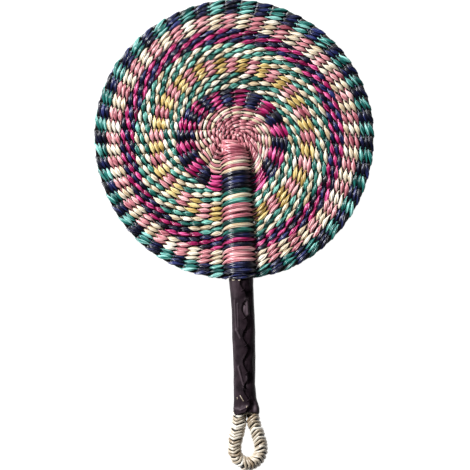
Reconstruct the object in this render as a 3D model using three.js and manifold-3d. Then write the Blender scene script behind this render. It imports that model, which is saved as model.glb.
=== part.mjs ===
// Woven straw hand fan: a round twined disc on a straight handle, with a laced leather
// grip and a wrapped hanging loop. Millimetres. +Z points out of the front face and the
// handle runs toward -Y. The origin is the disc's centre on its back face.

import * as THREE from 'three';
import { mergeVertices } from 'three/addons/utils/BufferGeometryUtils.js';
import Module from 'manifold-3d';

const wasm = await Module();
wasm.setup();

// Fits
const clearance = 0.3;
const bandGap = 0.3;

// Weft bands, from the centre out
const weaveThickness = 10;
const centreRadius = 24;
const creamPinkWidth = 14.8;
const innerMagentaWidth = 19;
const innerGreenWidth = 15.6;
const yellowPinkWidth = 15.9;
const outerGreenWidth = 15.7;
const outerMagentaWidth = 15;
const pinkCreamWidth = 16;
const rimWidth = 14;

// Warp spokes: one column in each ring is the handle, the others are spokes
const columnCount = 22;
const spokeWidth = 4;
const spokeThickness = 3;
const spokeGap = 0.9;
const spokeWall = 1;
const spokeEndInset = 2;

// Handle core and the ridge of weft that runs over it
const handleOffset = 2.5;
const coreRadius = 10.5;
const coreTipLength = 7;
const coreEndInset = 9;
const ridgeFrontCover = 3.7;
const ridgeSideCover = 6.7;
const ridgeTipInset = 2;
const ridgeTipCover = 4;
const ridgeTipLength = 11;

// Leather grip, sewn round the core with one laced seam
const gripTopGap = 0.6;
const gripLength = 141.4;
const leatherWall = 1.2;
const gripTopFlare = 0.85;
const gripTopFlareLength = 12;
const hemFlareLength = 25;
const hemRoom = 3.6;
const seamTurn = THREE.MathUtils.degToRad(8);

// Lacing thong, in and out along the seam
const thongRadius = 0.6;
const lacingCrossings = 13;
const lacingHalfSpan = 3;
const lacingEndMargin = 4;

// Hanging loop: a bent core with a flat strand wound round it
const loopCoreRadius = 3;
const socketDepth = 16;
const socketWeb = 5.8;
const loopOffset = 1.4;
const loopWidth = 28.8;
const loopWidestDrop = 39.5;
const loopDrop = 55.6;
const loopShoulder = 24;
const loopSwell = 14;
const wrapTurns = 24;
const wrapThickness = 2.5;
const wrapGap = 0.65;
const wrapHemDrop = 4;

// Facets
const ringSides = 48;
const rodSides = 20;
const tipSteps = 4;
const loopSteps = 48;
const loopSides = 10;
const wrapStepsPerTurn = 12;
const lacingStepsPerCrossing = 5;

// Sizes that follow from the ones above
const boreRadius = coreRadius + clearance;
const ridgeHalfHeight = boreRadius + ridgeFrontCover;
const ridgeHalfWidth = boreRadius + ridgeSideCover;
const bandWidths = [
  centreRadius, creamPinkWidth, innerMagentaWidth, innerGreenWidth, yellowPinkWidth,
  outerGreenWidth, outerMagentaWidth, pinkCreamWidth, rimWidth,
];
const discRadius = bandWidths.reduce((sum, width) => sum + width, 0);
const coreTipY = -(ridgeTipInset + ridgeTipCover);
const gripTopY = -(discRadius + gripTopGap);
const hemY = gripTopY - gripLength;
const coreEndY = hemY + coreEndInset;
const gripRadius = boreRadius + leatherWall;
const seamWidth = 2 * (thongRadius + clearance);
const socketRadius = loopCoreRadius + clearance;
const socketX = socketRadius + socketWeb / 2;
const hemRadius = socketX + loopCoreRadius + hemRoom + leatherWall;

// Straw and leather finishes
const pinkStraw = 0xe68c93;
const creamStraw = 0xead9b2;
const magentaStraw = 0xb51a68;
const greenStraw = 0x2f8f76;
const yellowStraw = 0xd3b257;
const navyStraw = 0x1b2140;
const tealStraw = 0x23806f;
const naturalStraw = 0xe6d3b0;
const paleStraw = 0xd9c9a0;
const plumLeather = 0x36292d;

function straw(color) {
  return new THREE.MeshStandardMaterial({ color, roughness: 0.5, metalness: 0, flatShading: true });
}

function leather(color) {
  return new THREE.MeshStandardMaterial({ color, roughness: 0.42, metalness: 0, flatShading: true });
}

// Keeps only positions, merges shared corners, drops collapsed triangles and turns the
// faces outward.
function closedGeometry(geometry) {
  const bare = geometry.clone();
  bare.deleteAttribute('normal');
  bare.deleteAttribute('uv');
  const merged = mergeVertices(bare, 1e-4);
  const position = merged.getAttribute('position');
  const index = merged.getIndex().array;
  const kept = [];
  let volume = 0;
  const a = new THREE.Vector3();
  const b = new THREE.Vector3();
  const c = new THREE.Vector3();
  for (let i = 0; i < index.length; i += 3) {
    const [p, q, r] = [index[i], index[i + 1], index[i + 2]];
    if (p === q || q === r || r === p) continue;
    kept.push([p, q, r]);
    a.fromBufferAttribute(position, p);
    b.fromBufferAttribute(position, q);
    c.fromBufferAttribute(position, r);
    volume += a.dot(b.cross(c)) / 6;
  }
  const outward = volume > 0 ? kept : kept.map(([p, q, r]) => [p, r, q]);
  merged.setIndex(outward.flat());
  return merged;
}

function toSolid(geometry) {
  const closed = closedGeometry(geometry);
  return new wasm.Manifold(new wasm.Mesh({
    numProp: 3,
    vertProperties: new Float32Array(closed.getAttribute('position').array),
    triVerts: new Uint32Array(closed.getIndex().array),
  }));
}

function toGeometry(solid) {
  const mesh = solid.getMesh();
  const geometry = new THREE.BufferGeometry();
  geometry.setAttribute('position', new THREE.Float32BufferAttribute(mesh.vertProperties, 3));
  geometry.setIndex(new THREE.Uint32BufferAttribute(mesh.triVerts, 1));
  geometry.computeVertexNormals();
  return geometry;
}

function namedMesh(name, geometry, material) {
  const mesh = new THREE.Mesh(geometry, material);
  mesh.name = name;
  return mesh;
}

// A flat ring round Z, centred on the disc's mid-plane, or a disc when inner is 0.
function ringGeometry(inner, outer, height) {
  const half = height / 2;
  const profile = [
    new THREE.Vector2(inner, -half),
    new THREE.Vector2(outer, -half),
    new THREE.Vector2(outer, half),
    new THREE.Vector2(inner, half),
  ];
  if (inner > 0) profile.push(profile[0].clone());
  return new THREE.LatheGeometry(profile, ringSides).rotateX(Math.PI / 2);
}

// A rod along Y with a rounded upper tip. Its flats face front and back, so the given
// depth radius is measured to them.
function tippedRod(widthRadius, depthRadius, tipY, tipLength, endY) {
  const profile = [];
  for (let i = 0; i <= tipSteps; i += 1) {
    const turn = (Math.PI / 2) * (i / tipSteps);
    profile.push(new THREE.Vector2(Math.sin(turn), tipY - tipLength * (1 - Math.cos(turn))));
  }
  profile[0].x = 0;
  profile.push(new THREE.Vector2(1, endY), new THREE.Vector2(0, endY));
  const flat = Math.cos(Math.PI / rodSides);
  return new THREE.LatheGeometry(profile, rodSides, Math.PI / rodSides)
    .scale(widthRadius, 1, depthRadius / flat);
}

// Warp spokes
function spokePlaces() {
  const step = (2 * Math.PI) / columnCount;
  const packedRadius = (spokeWidth + spokeGap) / (2 * Math.sin(step / 2));
  const places = [];
  for (let k = 1; k < columnCount; k += 1) {
    const angle = -Math.PI / 2 + k * step;
    const across = Math.abs(Math.cos(angle));
    const side = Math.sign(Math.cos(angle));
    const room = boreRadius + spokeWall + spokeWidth / 2 + side * handleOffset;
    const besideCore = Math.sin(angle) < 0 ? room / across : 0;
    const start = Math.max(packedRadius, besideCore);
    const place = new THREE.Object3D();
    place.rotation.z = angle;
    const middle = (start + discRadius - spokeEndInset) / 2;
    place.position.set(middle * Math.cos(angle), middle * Math.sin(angle), 0);
    place.updateMatrix();
    places.push({ place, length: discRadius - spokeEndInset - start });
  }
  return places;
}

function spokeGeometry(length, room) {
  return new THREE.BoxGeometry(length + 2 * room, spokeWidth + 2 * room, spokeThickness + 2 * room);
}

const spokes = spokePlaces();

function makeWarp() {
  const group = new THREE.Group();
  spokes.forEach(({ place, length }, k) => {
    const name = `warp_spoke_${String(k + 1).padStart(2, '0')}`;
    const mesh = namedMesh(name, spokeGeometry(length, 0), straw(paleStraw));
    mesh.position.copy(place.position);
    mesh.rotation.copy(place.rotation);
    group.add(mesh);
  });
  return group;
}

// Weft bands: each ring swells into an arch over the handle core, and the core and the
// spokes run through it.
function makeWeave() {
  const group = new THREE.Group();
  const ridgeEndY = -(discRadius + ridgeHalfWidth);
  const ridge = toSolid(
    tippedRod(ridgeHalfWidth, ridgeHalfHeight, -ridgeTipInset, ridgeTipLength, ridgeEndY)
      .translate(handleOffset, 0, 0),
  );
  let passages = toSolid(
    tippedRod(boreRadius, boreRadius, coreTipY + clearance, coreTipLength + clearance, ridgeEndY)
      .translate(handleOffset, 0, 0),
  );
  spokes.forEach(({ place, length }) => {
    const tunnel = spokeGeometry(length, clearance).applyMatrix4(place.matrix);
    passages = passages.add(toSolid(tunnel));
  });
  const bands = [
    ['centre_button_pink', pinkStraw],
    ['band_cream_pink', creamStraw],
    ['band_inner_magenta_navy', magentaStraw],
    ['band_inner_green_cream', greenStraw],
    ['band_yellow_pink', yellowStraw],
    ['band_outer_green_cream', greenStraw],
    ['band_outer_magenta_navy', navyStraw],
    ['band_pink_cream', pinkStraw],
    ['rim_band_teal_navy', tealStraw],
  ];
  const tall = 4 * ridgeHalfHeight;
  let inner = 0;
  bands.forEach(([name, colour], i) => {
    const outer = inner + bandWidths[i];
    const edge = i < bands.length - 1 ? outer - bandGap : outer;
    const ring = toSolid(ringGeometry(inner, edge, weaveThickness));
    const slice = toSolid(ringGeometry(inner, edge, tall));
    const band = ring.add(ridge.intersect(slice)).subtract(passages);
    group.add(namedMesh(name, toGeometry(band), straw(colour)));
    inner = outer;
  });
  return group;
}

// Handle core: a firm bundle with two sockets in its lower end for the loop's tails.
function makeCore() {
  const rod = toSolid(tippedRod(coreRadius, coreRadius, coreTipY, coreTipLength, coreEndY));
  const deep = socketDepth + coreEndInset;
  let core = rod;
  [-1, 1].forEach((side) => {
    const socket = new THREE.CylinderGeometry(socketRadius, socketRadius, deep, loopSides)
      .translate(side * socketX, coreEndY + socketDepth - deep / 2, 0);
    core = core.subtract(toSolid(socket));
  });
  return namedMesh('handle_core', toGeometry(core), straw(paleStraw));
}

// Leather grip: a sleeve that flares at both ends, open along its seam.
function makeGrip() {
  const waistTop = gripTopY - gripTopFlareLength;
  const waistEnd = hemY + hemFlareLength;
  const outer = [
    new THREE.Vector2(gripRadius + gripTopFlare, gripTopY),
    new THREE.Vector2(gripRadius, waistTop),
    new THREE.Vector2(gripRadius, waistEnd),
    new THREE.Vector2(hemRadius, hemY),
  ];
  const lining = outer.map((point) => new THREE.Vector2(point.x - leatherWall, point.y));
  const profile = [...outer, ...lining.reverse(), outer[0].clone()];
  const sleeve = new THREE.LatheGeometry(profile, rodSides, Math.PI / rodSides);
  const reach = 2 * hemRadius;
  const slit = new THREE.BoxGeometry(seamWidth, 2 * gripLength, reach)
    .translate(0, hemY, reach / 2)
    .rotateY(seamTurn);
  const grip = toSolid(sleeve).subtract(toSolid(slit));
  return namedMesh('leather_grip', toGeometry(grip), leather(plumLeather));
}

// Lacing: a thong that swings from side to side over the seam, with both ends tucked
// down through it.
function makeLacing() {
  const over = gripRadius + clearance + thongRadius;
  const startY = gripTopY - gripTopFlareLength - lacingEndMargin;
  const endY = hemY + hemFlareLength + lacingEndMargin;
  const swing = lacingHalfSpan / over;
  const onGrip = (turn, radius, y) => new THREE.Vector3(
    radius * Math.sin(turn), y, radius * Math.cos(turn),
  );
  const points = [onGrip(seamTurn, boreRadius, startY), onGrip(seamTurn, gripRadius, startY)];
  const samples = (lacingCrossings - 1) * lacingStepsPerCrossing;
  for (let i = 0; i <= samples; i += 1) {
    const u = i / lacingStepsPerCrossing;
    const turn = seamTurn + swing * Math.sin(Math.PI * u);
    const y = THREE.MathUtils.lerp(startY, endY, i / samples);
    points.push(onGrip(turn, over, y));
  }
  points.push(onGrip(seamTurn, gripRadius, endY), onGrip(seamTurn, boreRadius, endY));
  const section = new THREE.Shape(
    new THREE.EllipseCurve(0, 0, thongRadius, thongRadius).getPoints(6).slice(0, 6),
  );
  const thong = new THREE.ExtrudeGeometry(section, {
    steps: samples + 2 * lacingStepsPerCrossing,
    extrudePath: new THREE.CatmullRomCurve3(points),
  });
  return namedMesh('grip_lacing', closedGeometry(thong), leather(plumLeather));
}

// Hanging loop: both tails run straight into the core's sockets, and the legs swell to a
// teardrop.
function loopPath() {
  const tailY = coreEndY + socketDepth - clearance;
  const widestY = hemY - loopWidestDrop;
  const bottom = new THREE.Vector3(loopOffset, hemY - loopDrop, 0);
  const round = 0.5523;
  const legs = [-1, 1].map((side) => {
    const tail = new THREE.Vector3(side * socketX, tailY, 0);
    const mouth = new THREE.Vector3(side * socketX, coreEndY, 0);
    const widest = new THREE.Vector3(loopOffset + (side * loopWidth) / 2, widestY, 0);
    const shoulder = mouth.clone().setY(coreEndY - loopShoulder);
    const swell = widest.clone().setY(widestY + loopSwell);
    const drop = widest.clone().setY(THREE.MathUtils.lerp(widestY, bottom.y, round));
    const sole = bottom.clone().setX(THREE.MathUtils.lerp(bottom.x, widest.x, round));
    return { tail, mouth, shoulder, swell, widest, drop, sole };
  });
  const [left, right] = legs;
  const path = new THREE.CurvePath();
  path.add(new THREE.LineCurve3(left.tail, left.mouth));
  path.add(new THREE.CubicBezierCurve3(left.mouth, left.shoulder, left.swell, left.widest));
  path.add(new THREE.CubicBezierCurve3(left.widest, left.drop, left.sole, bottom));
  path.add(new THREE.CubicBezierCurve3(bottom, right.sole, right.drop, right.widest));
  path.add(new THREE.CubicBezierCurve3(right.widest, right.swell, right.shoulder, right.mouth));
  path.add(new THREE.LineCurve3(right.mouth, right.tail));
  return path;
}

function makeLoopCore(path) {
  const section = new THREE.Shape(
    new THREE.EllipseCurve(0, 0, loopCoreRadius, loopCoreRadius)
      .getPoints(loopSides).slice(0, loopSides),
  );
  const tube = new THREE.ExtrudeGeometry(section, { steps: loopSteps, extrudePath: path });
  return namedMesh('loop_core', closedGeometry(tube), straw(naturalStraw));
}

// The wrap is one flat strand wound along the loop from hem to hem. It narrows where the
// turns crowd on the inside of the bend, so that its gap to itself stays open.
function makeLoopWrap(path) {
  const samples = 400;
  const length = path.getLength();
  const below = [];
  for (let i = 0; i <= samples; i += 1) {
    if (path.getPoint(i / samples).y < hemY - wrapHemDrop) below.push(i / samples);
  }
  const from = below[0];
  const to = below[below.length - 1];
  const ride = loopCoreRadius + clearance + wrapThickness / 2;
  const steps = wrapTurns * wrapStepsPerTurn;
  const back = new THREE.Vector3(0, 0, 1);
  const reach = 0.5 / length;
  const place = (step) => {
    const u = THREE.MathUtils.lerp(from, to, step / steps);
    const centre = path.getPoint(u);
    const along = path.getPoint(u + reach).sub(path.getPoint(u - reach)).normalize();
    const side = new THREE.Vector3().crossVectors(back, along);
    const turn = (2 * Math.PI * step) / wrapStepsPerTurn;
    const out = side.multiplyScalar(Math.cos(turn)).addScaledVector(back, Math.sin(turn));
    return { along, out, middle: centre.addScaledVector(out, ride) };
  };
  const spread = (step) => {
    const here = place(step).middle;
    const before = place(step - wrapStepsPerTurn).middle;
    const after = place(step + wrapStepsPerTurn).middle;
    return Math.min(here.distanceTo(before), here.distanceTo(after));
  };
  const outline = [[1, 0], [0.6, 1], [-0.6, 1], [-1, 0], [-0.6, -1], [0.6, -1]];
  const rings = [];
  for (let step = 0; step <= steps; step += 1) {
    const { along, out, middle } = place(step);
    const halfWidth = (spread(step) - wrapGap) / 2;
    rings.push(outline.map(([across, up]) => middle.clone()
      .addScaledVector(along, across * halfWidth)
      .addScaledVector(out, (up * wrapThickness) / 2)));
  }
  console.log(`loop_wrap: ${wrapTurns} turns, least gap to itself ${leastGap(rings).toFixed(2)} mm`);
  return namedMesh('loop_wrap', closedGeometry(skin(rings)), straw(naturalStraw));
}

// Joins equal rings of points into one closed tube.
function skin(rings) {
  const sides = rings[0].length;
  const points = rings.flat();
  const index = [];
  for (let i = 0; i < rings.length - 1; i += 1) {
    for (let j = 0; j < sides; j += 1) {
      const a = i * sides + j;
      const b = i * sides + ((j + 1) % sides);
      index.push(a, b, b + sides, a, b + sides, a + sides);
    }
  }
  const last = points.length - sides;
  for (let j = 1; j < sides - 1; j += 1) {
    index.push(0, j + 1, j, last, last + j, last + j + 1);
  }
  const geometry = new THREE.BufferGeometry().setFromPoints(points);
  geometry.setIndex(index);
  return geometry;
}

// Least distance between edge points that are half a turn or more apart along the strand.
function leastGap(rings) {
  let least = Infinity;
  for (let i = 0; i < rings.length; i += 1) {
    for (let k = i + wrapStepsPerTurn / 2; k < rings.length; k += 1) {
      rings[i].forEach((p) => rings[k].forEach((q) => {
        least = Math.min(least, p.distanceTo(q));
      }));
    }
  }
  return least;
}

const handle = new THREE.Group();
handle.position.x = handleOffset;
const route = loopPath();
handle.add(makeCore(), makeGrip(), makeLacing(), makeLoopCore(route), makeLoopWrap(route));

const fan = new THREE.Group();
fan.name = 'woven_straw_fan';
fan.position.z = weaveThickness / 2;
fan.add(makeWeave(), makeWarp(), handle);

export default fan;
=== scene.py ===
# %% [markdown]
# # A twined straw hand fan
# The fan is a round disc of dyed straw, twined on a straight handle with a laced leather grip and a
# hanging loop. The packed model already holds every piece at its real size. This lesson loads it and then
# makes what the eye sees: each strand of straw, the leather, the lacing and the loop.

# %% Load the packed frame
import math
import random

import bmesh
import bpy
import numpy as np
from mathutils import Matrix, Vector, geometry, noise


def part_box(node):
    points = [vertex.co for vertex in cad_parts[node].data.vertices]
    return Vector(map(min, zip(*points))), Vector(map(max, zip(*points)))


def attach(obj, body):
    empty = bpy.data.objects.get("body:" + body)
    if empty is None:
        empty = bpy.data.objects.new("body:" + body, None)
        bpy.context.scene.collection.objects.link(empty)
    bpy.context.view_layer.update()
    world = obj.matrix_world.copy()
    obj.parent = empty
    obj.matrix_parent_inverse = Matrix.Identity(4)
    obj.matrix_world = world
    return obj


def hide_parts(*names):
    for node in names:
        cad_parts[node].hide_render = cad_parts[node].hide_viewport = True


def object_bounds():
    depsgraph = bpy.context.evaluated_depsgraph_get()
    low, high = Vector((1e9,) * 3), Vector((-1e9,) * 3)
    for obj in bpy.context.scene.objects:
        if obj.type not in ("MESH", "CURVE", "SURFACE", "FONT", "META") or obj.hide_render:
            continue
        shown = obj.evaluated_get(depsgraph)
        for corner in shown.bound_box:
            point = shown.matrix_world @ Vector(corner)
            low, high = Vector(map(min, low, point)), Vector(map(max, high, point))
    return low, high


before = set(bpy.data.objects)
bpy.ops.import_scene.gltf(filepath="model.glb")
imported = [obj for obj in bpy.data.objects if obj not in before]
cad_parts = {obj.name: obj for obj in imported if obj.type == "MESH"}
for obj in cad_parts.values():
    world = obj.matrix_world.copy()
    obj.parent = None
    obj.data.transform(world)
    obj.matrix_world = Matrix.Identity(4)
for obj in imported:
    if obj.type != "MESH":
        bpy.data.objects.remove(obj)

MM = 0.001
cad_low, cad_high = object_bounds()
print("packed model, mm:", [round(side / MM, 1) for side in cad_high - cad_low])

# %% [markdown]
# ## Reading the frame
# A value that the packed model already holds is read from it and not typed again. A node's box gives its
# outline, so the disc's radius, the handle's axis and the ends of the grip all come from boxes.

# %% Sizes read from the frame
rim_low, rim_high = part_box("rim_band_teal_navy")
disc_radius = (rim_high.x - rim_low.x) / 2
mid_z = (rim_low.z + rim_high.z) / 2
core_low, core_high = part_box("handle_core")
core_radius = (core_high.z - core_low.z) / 2
handle_x = (core_low.x + core_high.x) / 2
grip_low, grip_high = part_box("leather_grip")
loop_low, loop_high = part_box("loop_core")
print("disc radius and handle offset, mm:", round(disc_radius / MM, 1), round(handle_x / MM, 1))

# %% [markdown]
# ## Colours
# Dyed straw never has one flat colour: each stem takes the dye a little differently, and its light and
# dark parts differ in hue as well. One colour with a brightness noise would look like paint. So each dye
# has three shades, dark, middle and light, and every stitch gets a tone between 0 and 1 that picks from
# them.

# %% Shades of the dyes
def srgb(red, green, blue):
    """Turns screen values from 0 to 255 into the linear colour that a shader wants."""
    def linear(value):
        share = value / 255
        return share / 12.92 if share <= 0.04045 else ((share + 0.055) / 1.055) ** 2.4
    return (linear(red), linear(green), linear(blue), 1.0)


DYES = {
    "teal": (srgb(3, 54, 54), srgb(32, 128, 120), srgb(166, 231, 222)),
    "green": (srgb(5, 58, 54), srgb(25, 114, 102), srgb(128, 204, 188)),
    "navy": (srgb(1, 2, 15), srgb(6, 9, 46), srgb(46, 56, 120)),
    "pink": (srgb(156, 74, 90), srgb(213, 134, 143), srgb(252, 206, 204)),
    "cream": (srgb(198, 172, 136), srgb(231, 216, 189), srgb(255, 250, 238)),
    "magenta": (srgb(92, 2, 48), srgb(180, 14, 97), srgb(246, 108, 176)),
    "yellow": (srgb(160, 128, 60), srgb(212, 180, 104), srgb(246, 228, 166)),
    "natural": (srgb(140, 120, 95), srgb(189, 176, 156), srgb(246, 241, 230)),
    # Dark red: pink in shade, painted as a colour for the stems at the knot.
    "wine": (srgb(40, 10, 18), srgb(74, 24, 36), srgb(128, 58, 72)),
    # Near black: the warp, core and loop stems, whose colour paints the shade in the gaps between stitches.
    "stem": (srgb(5, 4, 6), srgb(15, 11, 13), srgb(44, 35, 33)),
}
print(len(DYES), "dyes")

# %% [markdown]
# ## Straw finish
# Straw is smooth and a little waxy, with a soft sheen and fine lines along the stem. A picture could show
# the lines, but a noise that is stretched along the strand follows every bend and needs no file. It reads
# two attributes of the strand's vertices: their tone, and their place along and across the strand. The
# lines move the tone up and down, and they also set the roughness and a fine bump.

# %% Helpers for finishes
def set_inputs(node, constants):
    for socket, value in constants.items():
        node.inputs[socket].default_value = value


def new_finish(name, constants):
    """A new material and its shader, with constants on the shader's own inputs."""
    material = bpy.data.materials.new(name)
    material.use_nodes = True
    shader = material.node_tree.nodes["Principled BSDF"]
    set_inputs(shader, constants)
    return material, shader


def add_node(material, kind, sources=(), constants=(), **settings):
    """A new node with its settings, the constants on its inputs and the outputs that feed them."""
    node = material.node_tree.nodes.new(kind)
    for name, value in settings.items():
        setattr(node, name, value)
    set_inputs(node, dict(constants))
    for socket, source in dict(sources).items():
        material.node_tree.links.new(source, node.inputs[socket])
    return node


def shade_ramp(material, source, stops):
    """A colour ramp. A stop is a place from 0 to 1 and its colour."""
    ramp = add_node(material, "ShaderNodeValToRGB", {"Fac": source})
    first, *between, last = stops
    for element, (place, shade) in zip(ramp.color_ramp.elements, (first, last)):
        element.position = place
        element.color = shade
    for place, shade in between:
        ramp.color_ramp.elements.new(place).color = shade
    return ramp.outputs["Color"]


def feed_surface(material, shader, colour, gloss_by, gloss, height, relief):
    """Feeds the shader its colour, a roughness between two values and a bump."""
    links = material.node_tree.links
    links.new(colour, shader.inputs["Base Color"])
    rough = add_node(material, "ShaderNodeMapRange", {"Value": gloss_by}, gloss)
    links.new(rough.outputs["Result"], shader.inputs["Roughness"])
    bump = add_node(material, "ShaderNodeBump", {"Height": height}, relief)
    links.new(bump.outputs["Normal"], shader.inputs["Normal"])


print("helpers for finishes are ready")

# %% A finish for straw
STRAW_SHINE = {"IOR": 1.5, "Coat Weight": 0.42, "Coat Roughness": 0.3}
STRAW_GLOSS = {"To Min": 0.2, "To Max": 0.48}
STRAW_RUN = 45
STRAW_LINES = 900
LINE_NOISE = {"Scale": 1, "Detail": 3}
LINE_CONTRAST = 1.4
LINE_RELIEF = {"Strength": 0.35, "Distance": 0.3 * MM}


def straw_finish(dye):
    """Straw of one dye: a shade per stitch, and fine lines that run along the strand."""
    material, shader = new_finish("straw_" + dye, STRAW_SHINE)
    tone = add_node(material, "ShaderNodeAttribute", attribute_name="tone").outputs["Fac"]
    place = add_node(material, "ShaderNodeAttribute", attribute_name="straw_place").outputs["Vector"]
    scale = {"Scale": (STRAW_RUN, STRAW_LINES, 1)}
    stretched = add_node(material, "ShaderNodeMapping", {"Vector": place}, scale).outputs["Vector"]
    lines = add_node(material, "ShaderNodeTexNoise", {"Vector": stretched}, LINE_NOISE).outputs["Fac"]
    lower = {1: -LINE_CONTRAST / 2}
    lowered = add_node(material, "ShaderNodeMath", {0: tone}, lower, operation="ADD").outputs[0]
    feeds, contrast = {0: lines, 2: lowered}, {1: LINE_CONTRAST}
    blend = add_node(material, "ShaderNodeMath", feeds, contrast, operation="MULTIPLY_ADD").outputs[0]
    dark, middle, light = DYES[dye]
    colour = shade_ramp(material, blend, ((0.0, dark), (0.5, middle), (1.0, light)))
    feed_surface(material, shader, colour, lines, STRAW_GLOSS, lines, LINE_RELIEF)
    return material


STRAW = {dye: straw_finish(dye) for dye in DYES}
print("straw finishes:", sorted(STRAW))

# %% [markdown]
# ## Sweeping a straw
# A straw is a flat stem that bends all the way along. A curve with a bevel profile does that with no
# modelling by hand: the points give the route, each point's radius gives the width there, and the profile
# gives the section. The curve is then made a mesh, so that every vertex can carry its tone and its place
# along and across the straw, which the straw finish reads.

# %% A section with ribs
def ribbed_section(sides, thickness, groove):
    """A flat oval of half-width 1 whose points lie in and out by turns, like stems side by side."""
    outline = []
    for i in range(sides):
        turn = 2 * math.pi * i / sides
        depth = thickness * (1 - groove * (i % 2))
        outline.append((math.cos(turn), depth * math.sin(turn)))
    return outline


STRAW_SECTION = ribbed_section(8, 0.6, 0.0)
ROUND_SECTION = ribbed_section(8, 1.0, 0.0)
print("straw section:", len(STRAW_SECTION), "sides")

# %% Helpers for objects and meshes
def put_in_scene(name, data):
    thing = bpy.data.objects.new(name, data)
    bpy.context.scene.collection.objects.link(thing)
    return thing


def new_piece(name, mesh, material):
    """A smooth object with one finish, which rides on the fan's only body."""
    mesh.shade_smooth()
    mesh.materials.clear()
    mesh.materials.append(material)
    piece = put_in_scene(name, mesh)
    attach(piece, "root")
    return piece


def mesh_from(bm, name):
    mesh = bpy.data.meshes.new(name)
    bm.to_mesh(mesh)
    bm.free()
    return mesh


def fill_rims(bm):
    """Closes every open ring of edges with a face."""
    rims = [edge for edge in bm.edges if edge.is_boundary]
    bmesh.ops.holes_fill(bm, edges=rims, sides=0)


def run_along(points):
    """The way along a line of points, from its start to each of them."""
    steps = np.linalg.norm(np.diff(points, axis=0), axis=1)
    return np.concatenate([[0.0], np.cumsum(steps)])


print("helpers for objects are ready")

# %% The sweep
def section_curve(outline):
    """The profile as a flat closed curve, which a route's bevel can use."""
    data = bpy.data.curves.new("section", "CURVE")
    spline = data.splines.new("POLY")
    spline.points.add(len(outline) - 1)
    for point, (x, y) in zip(spline.points, outline):
        point.co = (x, y, 0, 1)
    spline.use_cyclic_u = True
    return put_in_scene("section", data)


def write_straw_place(mesh, routes, outline):
    """Gives each vertex its tone, and its place along and across the strand in metres."""
    across = np.array([x for x, _ in outline])
    tones, places = [], []
    for number, route in enumerate(routes):
        along = run_along(np.array([tuple(place) for place, _, _, _ in route]))
        radii = np.array([radius for _, radius, _, _ in route])
        tones.append(np.repeat([tone for _, _, tone, _ in route], len(across)))
        rows = np.empty((len(route), len(across), 3))
        rows[:, :, 0] = along[:, None]
        rows[:, :, 1] = radii[:, None] * across[None, :]
        rows[:, :, 2] = number
        places.append(rows.reshape(-1, 3))
    tone = mesh.attributes.new("tone", "FLOAT", "POINT")
    tone.data.foreach_set("value", np.concatenate(tones).astype(np.float32))
    place = mesh.attributes.new("straw_place", "FLOAT_VECTOR", "POINT")
    place.data.foreach_set("vector", np.concatenate(places).astype(np.float32).ravel())


def close_ends(mesh):
    """Fills the open ring at each end of every tube."""
    bm = bmesh.new()
    bm.from_mesh(mesh)
    fill_rims(bm)
    bm.to_mesh(mesh)
    bm.free()


def sweep(name, routes, outline, material):
    """One mesh of tubes. A route is a list of points, each (place, radius, tone, tilt)."""
    section = section_curve(outline)
    curve = bpy.data.curves.new(name, "CURVE")
    curve.dimensions = "3D"
    curve.twist_mode = "Z_UP"
    curve.bevel_mode = "OBJECT"
    curve.bevel_object = section
    for route in routes:
        spline = curve.splines.new("POLY")
        spline.points.add(len(route) - 1)
        for point, (place, radius, _, tilt) in zip(spline.points, route):
            point.co = (*place, 1)
            point.radius = radius
            point.tilt = tilt
    carrier = put_in_scene(name + "_route", curve)
    ready = carrier.evaluated_get(bpy.context.evaluated_depsgraph_get())
    mesh = bpy.data.meshes.new_from_object(ready)
    mesh.name = name
    write_straw_place(mesh, routes, outline)
    close_ends(mesh)
    bpy.data.objects.remove(carrier)
    bpy.data.objects.remove(section)
    return new_piece(name, mesh, material)


print("the sweep is ready")

# %% [markdown]
# ## How the rows lie
# Two-strand twining works like this: stems radiate from the middle, and two strands of straw go round
# them, one in front and one behind, with a half twist between stems. Each strand is over one stem and
# under the next. The work starts at a knot just above the end of the handle, so the first rings are drawn
# toward it, and they are a little wider than high. Where a row meets the handle, it crosses in one long
# stitch and steps out by the height of a row, which is how a spiral moves on to its next turn. Left of
# the handle the inner rows run level into the ridge. One spiral formula would be shorter, but it can't
# bend a row where the handle pulls it. So each row is an object that knows its long stitch and its ring.

# %% Soft steps and bumps
def smooth(share):
    """A soft step from 0 to 1."""
    share = min(1.0, max(0.0, share))
    return share * share * (3 - 2 * share)


def bell(value, width):
    """A smooth bump of height 1 at 0."""
    return math.exp(-(value / width) ** 2)


print("half a step:", smooth(0.5), "top of a bump:", bell(0.0, 1.0))

# %% Values for the rings
START_KNOT = Vector((1.6, 3.6)) * MM
RING_SHIFT = Vector((-2.2, -1.0)) * MM
SHIFT_START = 25 * MM
SHIFT_EASE = 30 * MM
KNOT_FADE = 42 * MM
WIDE_SHARE = 0.07
HIGH_SHARE = -0.06
ROUND_AGAIN = 80 * MM
WAVE_COUNTS = (3, 5)
WAVE_HEIGHT = 0.35 * MM
WAVE_DRIFT = 18 * MM
EASE_REACH = 25 * MM
EASE_LEAST = 0.2
EASE_MOST = 0.9
LEVEL_REACH = 18 * MM
LEVEL_TURN = 0.8
LEVEL_AT = 34 * MM
LEVEL_FADE = 24 * MM
LEVEL_CLIMB = 0.12
print("the work starts at, mm:", [round(side / MM, 1) for side in START_KNOT])

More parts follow.
